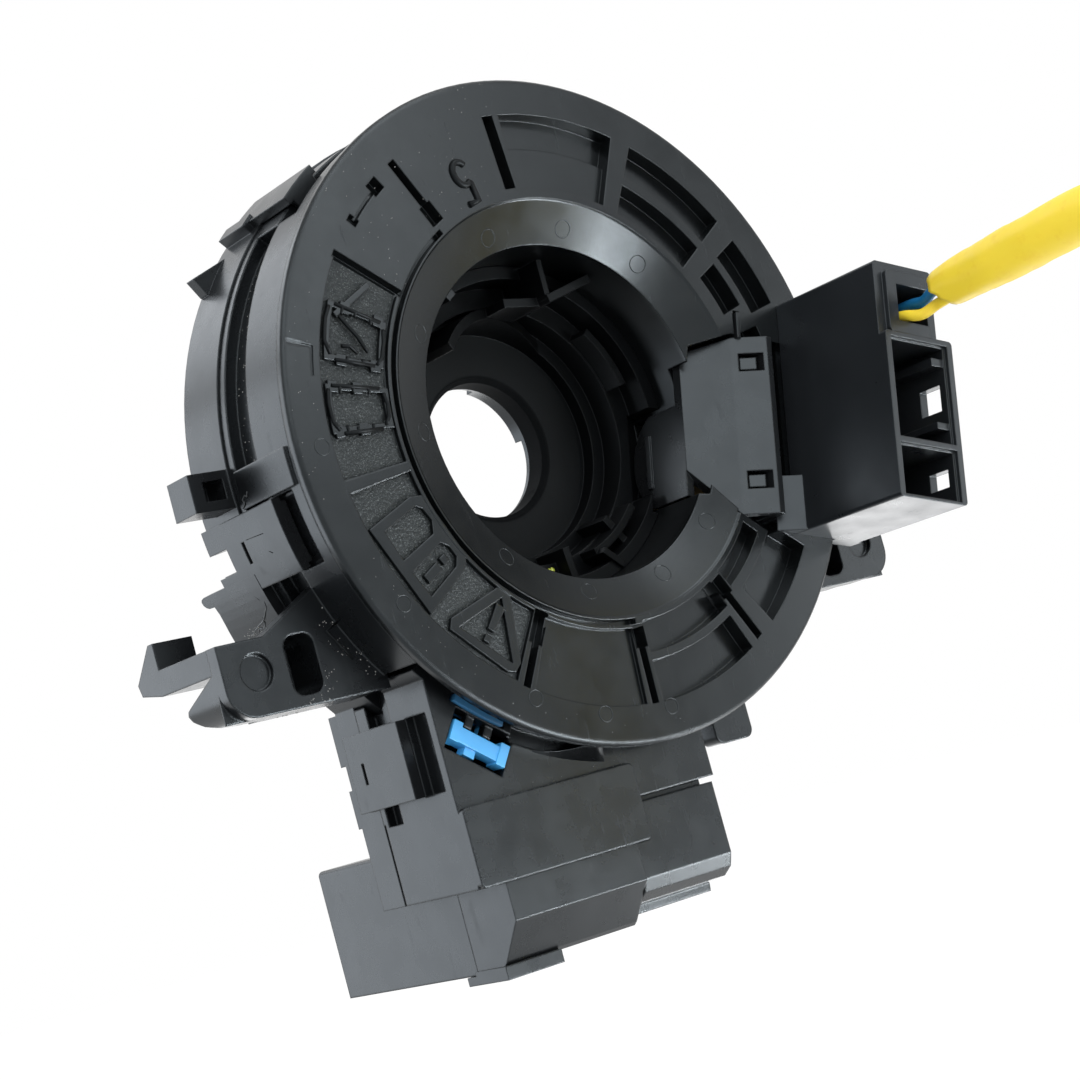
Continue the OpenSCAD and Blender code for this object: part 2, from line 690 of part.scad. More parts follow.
// Blue retainer: a bar with end blocks and a tab, the neck behind the case's tab and the arc strip

module blue_retainer() color(blue) placed() {
    back = block_front + block_wall;
    at_window() {
        block(-4.5, 4.5, block_front - 0.2, back, -1.4, 0.7);
        block(-4.5, -3.1, block_front - 0.2, back, -1.5, 1.3);
        block(3.1, 4.5, block_front - 0.4, back, -1.8, 1.3);
        block(-1.7, 0, block_front + 0.2, back, -2.5, -1.3);
        block(window_tabs[1] - 0.5, window_tabs[1] + 0.5, back + 0.1, back + 1.3, -1, 4.2);
        block(window_tabs[1] - 0.5, window_tabs[1] + 0.5, block_front + 1, back + 1.3, -1, 0.7);
    }
    arc_slab(case_r - 1.1, case_r, -131.5, -121.6, block_front - 0.5, back + 1.3);
}

// Connectors under the block

module carrier_profile() polygon([
    [4.2, block_bottom], [4.2, block_bottom - 5.1], [4.6, block_bottom - 5.5],
    [8.7, conn_bottom + 0.9], [9.4, conn_bottom + 0.4], [15.4, conn_bottom + 0.2],
    [15.4, block_bottom]
]);

module connector_carrier() color(grey_black) placed() {
    bar(conn_left, conn_split) carrier_profile();
    // Lip below, which runs on under the rear connector
    block(conn_left - 0.5, -21.5, 8.4, 15.4, -72, conn_bottom + 0.6);
    block(conn_left - 0.5, -21.5, 15.3, 17.5, -72, conn_bottom - 0.02);
}

module rear_connector() color(black) placed() {
    top = -52.4;
    under_y = block_rear + 0.2;
    difference() {
        union() {
            block(conn_left, conn_split, 15.4, conn_mouth_y, conn_bottom, block_bottom);
            slab(under_y, conn_mouth_y) round_rect(conn_left, conn_split, conn_bottom, top, 0.8);
        }
        block(conn_left + conn_wall, conn_split - conn_wall, 30, conn_mouth_y + 1,
            conn_bottom + conn_wall, top - conn_wall);
        // Room for the mating plug's latch
        block(-22, -16, 36, conn_mouth_y + 1, top - 2, top + 0.5);
        block(-27.5, -26, 34, conn_mouth_y + 1, conn_bottom - 0.5, conn_bottom + 2);
    }
    for (x = [-24.6, -13.6]) block(x - 0.6, x + 0.6, 30, conn_mouth_y - 1.5, top - 3, top - conn_wall + 0.1);
}

module rear_terminals() color("#c8b88a") placed()
    for (x = [-26:2.6:-12], z = [-58, -65])
        block(x - pin_half, x + pin_half, 28.6, conn_mouth_y - 7, z - pin_half, z + pin_half);

module right_profile() polygon([
    [4.6, -54.5], [4.6, -64.6], [5.4, -66.4], [7.2, -67.6], [10.8, -68.1],
    [11, -69.3], [13.6, -69.3], [14, -68.4], [34, -68.4], [34, -54.5]
]);

module right_connector() color(black) placed() {
    right = 8.4;
    step_x = -5;
    difference() {
        union() {
            bar(conn_split, right) right_profile();
            // Rail that closes the joint to the wing behind its front edge
            block(step_x, right - 0.7, 6.4, 34, -54.6, wing_bottom);
        }
        // Step under the block
        block(conn_split - 1, step_x, 4, 35, block_bottom - 0.05, -54);
        block(step_x + conn_wall, right - conn_wall, 20, 35, -66.9, -56);
        block(conn_split + conn_wall, step_x + 2, 20, 35, -66.9, block_bottom - conn_wall);
        block(-2, 3, 26, 35, -56.5, wing_bottom + 1);
    }
}

module right_terminals() color("#c8b88a") placed()
    for (x = [-1.9, 0.5, 2.9, 5.3], z = [-59, -64])
        block(x - pin_half, x + pin_half, 18.6, 29, z - pin_half, z + pin_half);

// Ribbon cable: a coil on the sleeve, a coil along the case and the turn between them

module coil2d(r0, sign) {
    steps = 48;
    pitch = sign * (ribbon + 0.25);
    function at(i, side) = polar(r0 + pitch * i / steps + side * ribbon / 2, 360 * i / steps);
    count = steps * ribbon_turns;
    polygon(concat([for (i = [0:count]) at(i, 1)], [for (i = [count:-1:0]) at(i, -1)]));
}

module flat_cable() color("#d8cfa8") placed() slab(ribbon_front, ribbon_back) {
    coil2d(sleeve_r + 0.6, 1);
    coil2d(case_inner_r - 0.6, -1);
}

// Roller carrier and rollers

roller_angles = [45, 135, 225, 315];

module roller_carrier() color("#dcdcd4") placed() {
    front = sleeve_end + 0.2;
    difference() {
        tube_slab(sleeve_r + run_clear, case_inner_r - 1, front, 22.4);
        for (a = [0:90:270])
            arc_slab(roller_orbit_r - 4, roller_orbit_r + 4, a - 24, a + 24, front - 1, 23);
    }
    for (a = roller_angles)
        at_roller(a) rotate([-90, 0, 0]) cylinder(h = front + 0.8 - roller_front, r = roller_pin_r);
}

module at_roller(a)
    translate([roller_orbit_r * cos(a), roller_front - 0.2, roller_orbit_r * sin(a)]) children();

module roller(a) color("#f0efe8") placed() at_roller(a) translate([0, 0.2, 0]) rotate([-90, 0, 0])
    difference() {
        cylinder(h = roller_len, r = roller_r);
        translate([0, 0, -1]) cylinder(h = roller_len + 2, r = roller_pin_r + run_clear);
    }

module roller_1() roller(roller_angles[0]);
module roller_2() roller(roller_angles[1]);
module roller_3() roller(roller_angles[2]);
module roller_4() roller(roller_angles[3]);

stator_case();
rear_cover();
blue_retainer();
connector_carrier();
rear_connector();
rear_terminals();
right_connector();
right_terminals();
flat_cable();
rotor_flange();
rotor_hub();
cancel_cam();
tower_housing();
tower_cover();
tower_terminals_a();
tower_terminals_b();
wire_blue();
wire_yellow();
airbag_lead();
airbag_plug();
plug_lock();
roller_carrier();
roller_1();
roller_2();
roller_3();
roller_4();
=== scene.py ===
"""Steering clock spring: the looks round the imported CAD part. Metres, in the part's own frame.

-Y faces the steering wheel, +Y the column, +Z is up. The rotor's pieces are placed in its own
directions: u runs through the tower, w across it, both turned by ROTOR_TURN about Y.
"""

import json
import math
import random

import bmesh
import bpy
from mathutils import Matrix, Vector, noise


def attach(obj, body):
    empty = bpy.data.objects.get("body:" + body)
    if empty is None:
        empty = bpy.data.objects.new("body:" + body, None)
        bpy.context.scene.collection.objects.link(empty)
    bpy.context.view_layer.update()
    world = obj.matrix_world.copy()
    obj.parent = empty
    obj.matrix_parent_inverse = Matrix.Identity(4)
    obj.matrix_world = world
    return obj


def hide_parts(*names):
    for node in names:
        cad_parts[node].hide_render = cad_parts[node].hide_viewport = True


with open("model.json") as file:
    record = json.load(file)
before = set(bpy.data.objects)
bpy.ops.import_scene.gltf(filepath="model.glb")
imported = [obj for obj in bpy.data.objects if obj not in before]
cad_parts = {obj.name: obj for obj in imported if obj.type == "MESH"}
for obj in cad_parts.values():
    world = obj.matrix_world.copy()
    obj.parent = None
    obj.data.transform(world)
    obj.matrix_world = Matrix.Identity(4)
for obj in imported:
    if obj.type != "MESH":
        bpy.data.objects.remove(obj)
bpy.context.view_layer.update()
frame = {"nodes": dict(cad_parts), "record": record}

MM = 0.001
SEAT_Y = 26.5  # station of the origin, mm behind the flange's front face
ROTOR_TURN = math.radians(15)

# Radii and stations of the solids, in mm

HUB_HOLE = 11.05  # the hub's walls within this radius get painted shade, as they lie in the dark
BORE = 24.1  # inside of the flange's sleeve
BORE_FRONT = 2.4  # station where the sleeve begins behind the ring's cone
RING_OUTER, RING_FRONT = 29.8, 0.25  # outer edge of the falling ring, and its station
CONE_SLOPE = 2.25 / 5.8  # how fast the ring falls back towards the bore
GROOVE = 45.2  # floor of the groove round the case
CASE_WALL = 46.99  # a hair within the case's outer wall
STRIP_OUTER = 47.4  # outer edge of the blue retainer's arc strip, within which painted shade goes
ARM = 48.5  # outer face of the latch arm
BLOCK_FRONT = 4.5  # station of the block's front
EAR_FRONT = 10.0  # station of the ear's front
EAR_UNDERSIDE = -31.4  # z of the ear's lower face

# Places


def at(x, station, z):
    """A point given in mm and a station counted from the flange's front face."""
    return Vector((x * MM, (station - SEAT_Y) * MM, z * MM))


def rotor_at(u, station, w):
    """The same for a point in the rotor's own directions."""
    x = u * math.cos(ROTOR_TURN) + w * math.sin(ROTOR_TURN)
    z = -u * math.sin(ROTOR_TURN) + w * math.cos(ROTOR_TURN)
    return at(x, station, z)


def rotor_polar(radius, degrees, station):
    """A point on the rotor; the degrees count from u towards w."""
    a = math.radians(degrees)
    return rotor_at(radius * math.cos(a), station, radius * math.sin(a))


def case_polar(radius, degrees, station):
    """A point on the stator's round wall."""
    a = math.radians(degrees)
    return at(radius * math.cos(a), station, radius * math.sin(a))


def steps(first, last, count):
    """Evenly spaced numbers, both ends with them."""
    return [first + (last - first) * i / (count - 1) for i in range(count)]


# Camera

EYE = at(-218.86, -255.50, -48.59)
LOOK_AZIMUTH = math.radians(38.795)  # from +Y towards +X
LOOK_RISE = math.radians(5.451)
CAMERA_ROLL = math.radians(15.315)
LENS_MM, SENSOR_MM = 82.2, 36

look = Vector(
    (
        math.sin(LOOK_AZIMUTH) * math.cos(LOOK_RISE),
        math.cos(LOOK_AZIMUTH) * math.cos(LOOK_RISE),
        math.sin(LOOK_RISE),
    )
)
camera_data = bpy.data.cameras.new("camera")
camera_data.lens = LENS_MM
camera_data.sensor_width = SENSOR_MM
camera_data.clip_start = 0.01
camera = bpy.data.objects.new("camera", camera_data)
bpy.context.collection.objects.link(camera)
turn = look.to_track_quat("-Z", "Y").to_matrix().to_4x4() @ Matrix.Rotation(-CAMERA_ROLL, 4, "Z")
camera.matrix_world = Matrix.Translation(EYE) @ turn
bpy.context.scene.camera = camera

# Materials

COOL = (0.82, 0.93, 1.0, 1)  # tint of the black plastic's gloss
BORE_SHADE = (0.0018, 0.002, 0.0023)  # painted shade within the sleeve
RIM_ROUND = 0.75  # mm, the round on the edge of the flange's rim
RIM_EDGE = (44, 45)  # mm from the axis, where that round sets in and where it is full
BEVEL_SAMPLES = 6
EDGE_COSINES = (0.995, 0.93)  # rounded against true normal: where an edge begins and is full
GRAIN_SCALE, GRAIN_DEPTH = 2600, 0.006 * MM  # the finest grain: its noise scale and height
DARK_BLUR = 0.15 * MM  # half the width over which dark_within fades
WEAR = 0.55  # how far the rubbed edges take on the worn colour
DARK = 0.05  # a colour below this is black plastic


class Shader:
    """A material's node tree, with short calls for the nodes that the part's materials share."""

    def __init__(self, name):
        self.material = bpy.data.materials.new(name)
        self.material.use_nodes = True
        self.nodes = self.material.node_tree.nodes
        self.links = self.material.node_tree.links
        self.nodes.clear()
        self.bsdf = self.nodes.new("ShaderNodeBsdfPrincipled")
        output = self.nodes.new("ShaderNodeOutputMaterial")
        self.links.new(self.bsdf.outputs[0], output.inputs[0])
        self.object = self.nodes.new("ShaderNodeTexCoord").outputs["Object"]

    def set(self, name, value):
        """Sets a shader input to a number or colour, or links a node's output to it."""
        if isinstance(value, bpy.types.NodeSocket):
            self.links.new(value, self.bsdf.inputs[name])
        else:
            self.bsdf.inputs[name].default_value = value

    def stretched(self, scale):
        """Object coordinates scaled along x, y and z; a small scale draws a pattern out."""
        node = self.nodes.new("ShaderNodeMapping")
        node.inputs["Scale"].default_value = scale
        self.links.new(self.object, node.inputs["Vector"])
        return node.outputs["Vector"]

    def noise(self, scale, detail=3, roughness=0.55, vector=None):
        """Noise over the object's own coordinates, or over a vector such as stretched()'s."""
        node = self.nodes.new("ShaderNodeTexNoise")
        node.inputs["Scale"].default_value = scale
        node.inputs["Detail"].default_value = detail
        node.inputs["Roughness"].default_value = roughness
        self.links.new(vector or self.object, node.inputs["Vector"])
        return node.outputs["Fac"]

    def cells(self, scale):
        """The distance to the nearest of scattered points."""
        node = self.nodes.new("ShaderNodeTexVoronoi")
        node.inputs["Scale"].default_value = scale
        self.links.new(self.object, node.inputs["Vector"])
        return node.outputs["Distance"]

    def ramp(self, value, low, high, out_low=0.0, out_high=1.0):
        """Maps low to out_low and high to out_high, and holds beyond them."""
        node = self.nodes.new("ShaderNodeMapRange")
        ends = {"From Min": low, "From Max": high, "To Min": out_low, "To Max": out_high}
        for name, number in ends.items():
            node.inputs[name].default_value = number
        self.links.new(value, node.inputs["Value"])
        return node.outputs["Result"]

    def math(self, operation, first, second):
        """A math node of numbers or of other nodes' outputs."""
        node = self.nodes.new("ShaderNodeMath")
        node.operation = operation
        for socket, value in zip(node.inputs, (first, second)):
            if isinstance(value, bpy.types.NodeSocket):
                self.links.new(value, socket)
            else:
                socket.default_value = value
        return node.outputs[0]

    def mix_colours(self, fac, first, second):
        """The first colour where fac is 0, the second where it is 1."""
        node = self.nodes.new("ShaderNodeMix")
        node.data_type = "RGBA"
        for name, colour in (("A", first), ("B", second)):
            if isinstance(colour, bpy.types.NodeSocket):
                self.links.new(colour, node.inputs[name])
            else:
                node.inputs[name].default_value = (*colour, 1)
        self.links.new(fac, node.inputs["Factor"])
        return node.outputs["Result"]

    def bump(self, height, distance, strength=1.0, normal=None):
        """A normal tilted by a height, on top of another normal where one is given."""
        node = self.nodes.new("ShaderNodeBump")
        node.inputs["Distance"].default_value = distance
        node.inputs["Strength"].default_value = strength
        self.links.new(height, node.inputs["Height"])
        if normal is not None:
            self.links.new(normal, node.inputs["Normal"])
        return node.outputs["Normal"]

    def soft_edges(self, radius):
        """The normal with rounded edges; the radius is a number or a node's output."""
        node = self.nodes.new("ShaderNodeBevel")
        node.samples = BEVEL_SAMPLES
        if isinstance(radius, bpy.types.NodeSocket):
            self.links.new(radius, node.inputs["Radius"])
        else:
            node.inputs["Radius"].default_value = radius
        return node.outputs["Normal"]

    def edge_mask(self, soft):
        """1 on the edges that soft_edges rounds, 0 on the flats."""
        node = self.nodes.new("ShaderNodeVectorMath")
        node.operation = "DOT_PRODUCT"
        self.links.new(soft, node.inputs[0])
        self.links.new(self.nodes.new("ShaderNodeNewGeometry").outputs["Normal"], node.inputs[1])
        return self.ramp(node.outputs["Value"], *EDGE_COSINES)

    def from_axis(self):
        """The distance from the rotor's axis, and the height along it."""
        parts = self.nodes.new("ShaderNodeSeparateXYZ")
        self.links.new(self.object, parts.inputs[0])
        x, y, z = parts.outputs
        squares = self.math("ADD", self.math("MULTIPLY", x, x), self.math("MULTIPLY", z, z))
        return self.math("SQRT", squares, 0), y

    def bore_shade_mask(self):
        """1 within the sleeve behind the flange's cone, where painted shade goes, 0 elsewhere."""
        radius, y = self.from_axis()
        near = self.ramp(radius, (BORE + 0.5) * MM, BORE * MM)
        behind = self.ramp(y, (BORE_FRONT - SEAT_Y) * MM, (BORE_FRONT + 1 - SEAT_Y) * MM)
        return self.math("MULTIPLY", near, behind)


def moulded(name, colour, roughness=0.26, edge=0.25, specular=0.36, bore=False, dark_within=0):
    """Moulded plastic: fine grain, uneven gloss, handling scuffs and edges rubbed smooth.

    edge is the round on its edges in mm.
    bore=True is for the rotor: painted shade within its sleeve, and a wider round on the flange's
    rim.
    dark_within is a radius about the axis in metres: what lies within it gets painted shade, darker
    and duller.
    """
    s = Shader(name)
    width = edge * MM
    if bore:
        start, full = RIM_EDGE
        width = s.ramp(s.from_axis()[0], start * MM, full * MM, edge * MM, RIM_ROUND * MM)
    soft = s.soft_edges(width)
    lighter = tuple(min(1, c * 1.16 + 0.0006) for c in colour)
    worn = tuple(min(1, c * 1.9 + 0.006) for c in colour)
    tint = s.mix_colours(s.ramp(s.noise(60, 4), 0.3, 0.75), colour, lighter)
    edges = s.math("MULTIPLY", s.edge_mask(soft), s.ramp(s.noise(420, 4), 0.42, 0.62))
    tint = s.mix_colours(s.math("MULTIPLY", edges, WEAR), tint, worn)
    scuffs = s.ramp(s.noise(900, 4, 0.7, s.stretched((1.0, 0.35, 0.12))), 0.62, 0.74, 0, 0.10)
    patches = s.ramp(s.noise(210, 5), 0.25, 0.75, roughness - 0.04, roughness + 0.05)
    gloss = s.math("ADD", patches, scuffs)
    if dark_within:
        # painted shade: darker and duller within the radius, where the part lies in shade
        painted_shade = s.ramp(s.from_axis()[0], dark_within + DARK_BLUR, dark_within - DARK_BLUR)
        tint = s.mix_colours(painted_shade, tint, tuple(c * 0.36 for c in colour))
        gloss = s.math("ADD", gloss, s.math("MULTIPLY", painted_shade, 0.4))
    if bore:
        # painted shade: within the sleeve the colour is darkened nearly to black, for the dark of
        # the bore
        inside = s.bore_shade_mask()
        tint = s.mix_colours(s.math("MULTIPLY", inside, 0.85), tint, BORE_SHADE)
        gloss = s.math("ADD", gloss, s.math("MULTIPLY", inside, 0.14))
    s.set("Base Color", tint)
    s.set("Roughness", gloss)
    s.set("Specular IOR Level", specular)
    if max(colour) < DARK:
        s.set("Specular Tint", COOL)
    s.set("Normal", s.bump(s.noise(GRAIN_SCALE, 2), GRAIN_DEPTH, 1.0, soft))
    return s.material


def textured(name, colour):
    """The panels' coarse grain: matt hollows between small glossy pips, and painted glints."""
    s = Shader(name)
    pips = s.cells(5200)
    lighter = tuple(c * 1.8 + 0.004 for c in colour)
    painted_glint = tuple(c * 12 + 0.04 for c in colour)
    tint = s.mix_colours(s.ramp(s.noise(1500, 4), 0.35, 0.7), colour, lighter)
    # painted glints: scattered specks painted far lighter, standing in for highlights on the pips
    tint = s.mix_colours(s.ramp(s.noise(5600, 2, 0.7), 0.58, 0.70), tint, painted_glint)
    s.set("Base Color", tint)
    s.set("Roughness", s.ramp(s.noise(2400, 3), 0.35, 0.65, 0.36, 0.62))
    s.set("Specular IOR Level", 0.22)
    s.set("Specular Tint", COOL)
    fine = s.bump(s.noise(4200, 3), 0.04 * MM, 0.8)
    s.set("Normal", s.bump(pips, 0.05 * MM, 0.9, fine))
    return s.material


def tinned(name):
    """Tinned contacts with a drawn grain."""
    s = Shader(name)
    s.set("Metallic", 1.0)
    s.set("Base Color", s.mix_colours(s.noise(900, 3), (0.62, 0.55, 0.40), (0.75, 0.72, 0.62)))
    s.set("Roughness", s.ramp(s.noise(1500), 0.3, 0.7, 0.2, 0.36))
    s.set("Normal", s.bump(s.noise(GRAIN_SCALE, 2, 0.5, s.stretched((1, 0.1, 1))), GRAIN_DEPTH))
    return s.material


def sleeve(name, colour, shade):
    """Soft yellow tubing: faint wrinkles, a satin skin and light grime in its hollows."""
    s = Shader(name)
    wrinkles = s.noise(190, 3, 0.5, s.stretched((1, 0.55, 0.55)))
    grime = s.math("MULTIPLY", s.ramp(s.noise(330, 5, 0.65), 0.52, 0.8), 0.5)
    s.set("Base Color", s.mix_colours(grime, colour, shade))
    s.set("Roughness", s.ramp(s.noise(500, 4), 0.3, 0.7, 0.36, 0.5))
    s.set("Specular IOR Level", 0.4)
    s.set("Subsurface Weight", 0.06)
    s.set("Subsurface Radius", (0.9 * MM, 0.5 * MM, 0.1 * MM))
    fine = s.bump(s.noise(GRAIN_SCALE, 2), 0.008 * MM)
    s.set("Normal", s.bump(wrinkles, 0.25 * MM, 0.7, fine))
    return s.material


CASE_BLACK, CASE_GLOSS = (0.0046, 0.0052, 0.0060), 0.27
COVER_BLACK, COVER_GLOSS = (0.0074, 0.0081, 0.0090), 0.28
MATERIALS = {
    "case_plastic": moulded("case_plastic", CASE_BLACK, CASE_GLOSS, edge=0.4),
    "cover_plastic": moulded("cover_plastic", COVER_BLACK, COVER_GLOSS),
    "rotor_plastic": moulded("rotor_plastic", (0.0034, 0.0040, 0.0044), 0.22, bore=True),
    # painted shade: the blue retainer's arc strip, within STRIP_OUTER, is painted darker, as it
    # lies in shade behind the groove
    "blue_plastic": moulded(
        "blue_plastic",
        (0.07, 0.40, 0.83),
        0.30,
        edge=0.18,
        specular=0.45,
        dark_within=STRIP_OUTER * MM,
    ),
    "terminal_metal": tinned("terminal_metal"),
    "ribbon_film": moulded("ribbon_film", (0.55, 0.42, 0.22), 0.3),
    "wire_blue_skin": sleeve("wire_blue_skin", (0.010, 0.14, 0.34), (0.006, 0.08, 0.2)),
    "lead_yellow": sleeve("lead_yellow", (0.97, 0.73, 0.05), (0.80, 0.48, 0.015)),
    "plug_yellow": moulded("plug_yellow", (0.88, 0.62, 0.03), 0.4),
    "lock_white": moulded("lock_white", (0.78, 0.76, 0.70), 0.4),
    "carrier_plastic": moulded("carrier_plastic", (0.62, 0.62, 0.57), 0.42),
    "roller_plastic": moulded("roller_plastic", (0.78, 0.76, 0.70), 0.42),
}
for part in frame["record"]["subparts"]:
    node_object = frame["nodes"][part["node"]]
    node_object.data.materials.clear()
    node_object.data.materials.append(MATERIALS[part["material_slot"]])

# painted shade: the hub's skin is darker than the rotor's, as it sits in the dark of the bore, and
# darker still within HUB_HOLE
HUB_SKIN = moulded(
    "hub_skin", (0.0016, 0.0018, 0.0021), 0.46, specular=0.12, dark_within=HUB_HOLE * MM
)
TOWER_SKIN = moulded("tower_skin", (0.0110, 0.0125, 0.0145), 0.30)
for name, material in (("rotor_hub", HUB_SKIN), ("tower_housing", TOWER_SKIN)):
    frame["nodes"][name].data.materials[0] = material
PANEL_SKIN = textured("panel_skin", (0.0072, 0.0084, 0.0084))
WEB_SKIN = moulded("web_skin", COVER_BLACK, COVER_GLOSS, edge=0.04)
RUN_OUT_SKIN = moulded("run_out_skin", CASE_BLACK, CASE_GLOSS, edge=0.04)
# painted shade: darker and duller than the rotor's plastic, so that raised lines read as shadowed
# strokes
LINE_SHADE_SKIN = moulded("line_shade_skin", (0.0014, 0.0016, 0.0018), 0.46, edge=0.05, specular=0.14)
RIM_MARK_SKIN = moulded("rim_mark_skin", (0.0085, 0.0098, 0.0102), 0.26, edge=0.05)

# Pieces

SIDEWAYS, BACKWARDS = Vector((1, 0, 0)), Vector((0, 1, 0))


def mesh_piece(name, build, material, body, smooth=True):
    """A piece whose mesh build(bm) fills in, and which rides on a body."""
    bm = bmesh.new()
    build(bm)
    bmesh.ops.recalc_face_normals(bm, faces=bm.faces)
    mesh = bpy.data.meshes.new(name)
    bm.to_mesh(mesh)
    bm.free()
    mesh.polygons.foreach_set("use_smooth", [smooth] * len(mesh.polygons))
    mesh.materials.append(material)
    piece = bpy.data.objects.new(name, mesh)
    bpy.context.collection.objects.link(piece)
    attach(piece, body)
    return piece


def add_strip(bm, rings, closed=False):
    """Joins rings of points with quads; a strip that isn't closed to a loop gets end caps."""
    rows = [[bm.verts.new(p) for p in ring] for ring in rings]
    pairs = list(zip(rows, rows[1:]))
    if closed:
        pairs.append((rows[-1], rows[0]))
    for low, high in pairs:
        for k in range(len(low)):
            n = (k + 1) % len(low)
            bm.faces.new((low[k], low[n], high[n], high[k]))
    if not closed:
        bm.faces.new(rows[0])
        bm.faces.new(list(reversed(rows[-1])))


def ring_round(centre, along, radius, sides, side_hint=BACKWARDS):
    """Points round a centre, square to along; side_hint is a direction that isn't along."""
    out = along.cross(side_hint).normalized()
    up = out.cross(along).normalized()
    turns = [2 * math.pi * k / sides for k in range(sides)]
    return [centre + radius * (math.cos(t) * out + math.sin(t) * up) for t in turns]


def add_tube(bm, path, radius, sides, closed=False, side_hint=BACKWARDS):
    """A round bead along a path of points."""
    rings = []
    for i, place in enumerate(path):
        before = path[i - 1] if i or closed else path[0]
        after = path[(i + 1) % len(path)] if i < len(path) - 1 or closed else path[-1]
        rings.append(ring_round(place, (after - before).normalized(), radius, sides, side_hint))
    add_strip(bm, rings, closed)


# Yellow lead: tubing with an open end, over a blue and a yellow wire

LEAD_RADIUS = 3.7 * MM
LEAD_ROUTE = [
    Vector(p) * MM
    for p in (
        (47, -53, 3.5), (47, -57, 3.75), (47, -61, 4), (47, -65, 4.25), (47, -70, 4.5),
        (47, -74, 4.75), (47, -78, 5), (47, -81, 5.1), (47, -84, 5), (47, -86.5, 4.5),
        (47, -89, 3.5), (47, -91.4, 2), (47, -93.5, 0), (47, -95.2, -2.3), (47, -96.5, -5),
        (47, -97.5, -8), (47, -98, -11), (47, -98, -15.5), (47, -98, -20), (47, -98, -25),
        (47, -98, -30), (47, -98, -35), (47, -98, -40), (47, -98, -44), (47, -98, -48),
    )
]
SLEEVE_WALL = 0.55 * MM
SLEEVE_SIDES = 44
FULL_RING = 22  # the ring at which the sleeve has its full radius
MOUTH_SHARE = 0.80  # the mouth's radius as a share of the lead's
MOUTH_DEPTH = 9  # rings of the sleeve's inside that show through its open end
MOUTH_SLANT = 1.7 * MM  # how much further the lower lip is cut back
CUT_RINGS = 12  # rings over which the mouth's slant and tear run out


def smoothed(route, per_stretch):
    """Points on the smooth curve through a route."""
    points = []
    ends = [2 * route[0] - route[1], *route, 2 * route[-1] - route[-2]]
    for a, b, c, d in zip(ends, ends[1:], ends[2:], ends[3:]):
        for i in range(per_stretch):
            t = i / per_stretch
            points.append(
                0.5
                * (
                    2 * b
                    + (c - a) * t
                    + (2 * a - 5 * b + 4 * c - d) * t**2
                    + (3 * b - a - 3 * c + d) * t**3
                )
            )
    return [*points, route[-1]]


LEAD_PATH = smoothed(LEAD_ROUTE, per_stretch=5)


def sleeve_ring(i, inset):
    """One slightly wrinkled ring of the sleeve, which is narrow, squashed and torn at its mouth."""
    centre = LEAD_PATH[i]
    before, after = LEAD_PATH[max(i - 1, 0)], LEAD_PATH[min(i + 1, len(LEAD_PATH) - 1)]
    along = (after - before).normalized()
    grown = min(1, i / FULL_RING)
    size = LEAD_RADIUS * (MOUTH_SHARE + (1 - MOUTH_SHARE) * math.sin(grown * math.pi / 2))
    points = []
    for p in ring_round(centre, along, 1.0, SLEEVE_SIDES, SIDEWAYS):
        out = (p - centre).normalized()
        dent = noise.noise((centre + out * 0.004) * 170) * 0.28 * MM
        fold = noise.noise(Vector((centre.y * 500, centre.z * 500, out.x * 1.5))) * 0.10 * MM
        reach = min(size + dent + fold, LEAD_RADIUS) - inset
        squash = 1 - 0.10 * (1 - grown) * abs(out.x)
        torn = 0.45 * MM * (1 + noise.noise(out * 2.6))
        cut = (MOUTH_SLANT * max(0, -out.z) + torn) * max(0, 1 - i / CUT_RINGS)
        points.append(centre + out * reach * squash + along * cut)
    return points


def build_sleeve(bm):
    """The sleeve from within its mouth, round the lip and along the outside."""
    inner = [sleeve_ring(i, SLEEVE_WALL) for i in range(MOUTH_DEPTH, 0, -1)]
    lip = [sleeve_ring(0, SLEEVE_WALL * share) for share in (0.9, 0.45, 0.1)]
    outer = [sleeve_ring(i, 0) for i in range(1, len(LEAD_PATH))]
    add_strip(bm, inner + lip + outer)


lead = mesh_piece("yellow_lead", build_sleeve, MATERIALS["lead_yellow"], "rotor")
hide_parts("airbag_lead")

WIRE_RADIUS, WIRE_SIDES = 0.8 * MM, 20
WIRES = {  # node: slot, and route in mm
    "wire_blue": (
        "wire_blue_skin",
        [(48, -41, 3.5), (48, -46, 3.5), (47.8, -49, 3.2), (47.4, -51.5, 3.9), (47.2, -56, 4.4)],
    ),
    "wire_yellow": (
        "lead_yellow",
        [(45.5, -41, 2), (45.5, -46, 2), (46, -49.5, 1.2), (46.8, -52, 1.8), (46.8, -56, 2.2)],
    ),
}
for node, (slot, route) in WIRES.items():
    wire_path = smoothed([Vector(p) * MM for p in route], per_stretch=8)
    wire = mesh_piece(
        node + "_skin",
        lambda bm: add_tube(bm, wire_path, WIRE_RADIUS, WIRE_SIDES, side_hint=SIDEWAYS),
        MATERIALS[slot],
        "rotor",
    )
    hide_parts(node)

# Textured panels of the flange

PANEL_FLOOR = 0.75  # station of the panels' floor
PANELS = [(159.7, 201.8), (204.8, 251.1)]  # first and last degrees
PANEL_INNER, PANEL_OUTER = 31.8, 41.7
PANEL_CELL = 0.13  # mm between the grain's points
PIP_SCALE = 4300  # per metre
PIP_MIDDLE, PIP_REACH = 0.1, 0.09  # mm above the floor, and either way from there


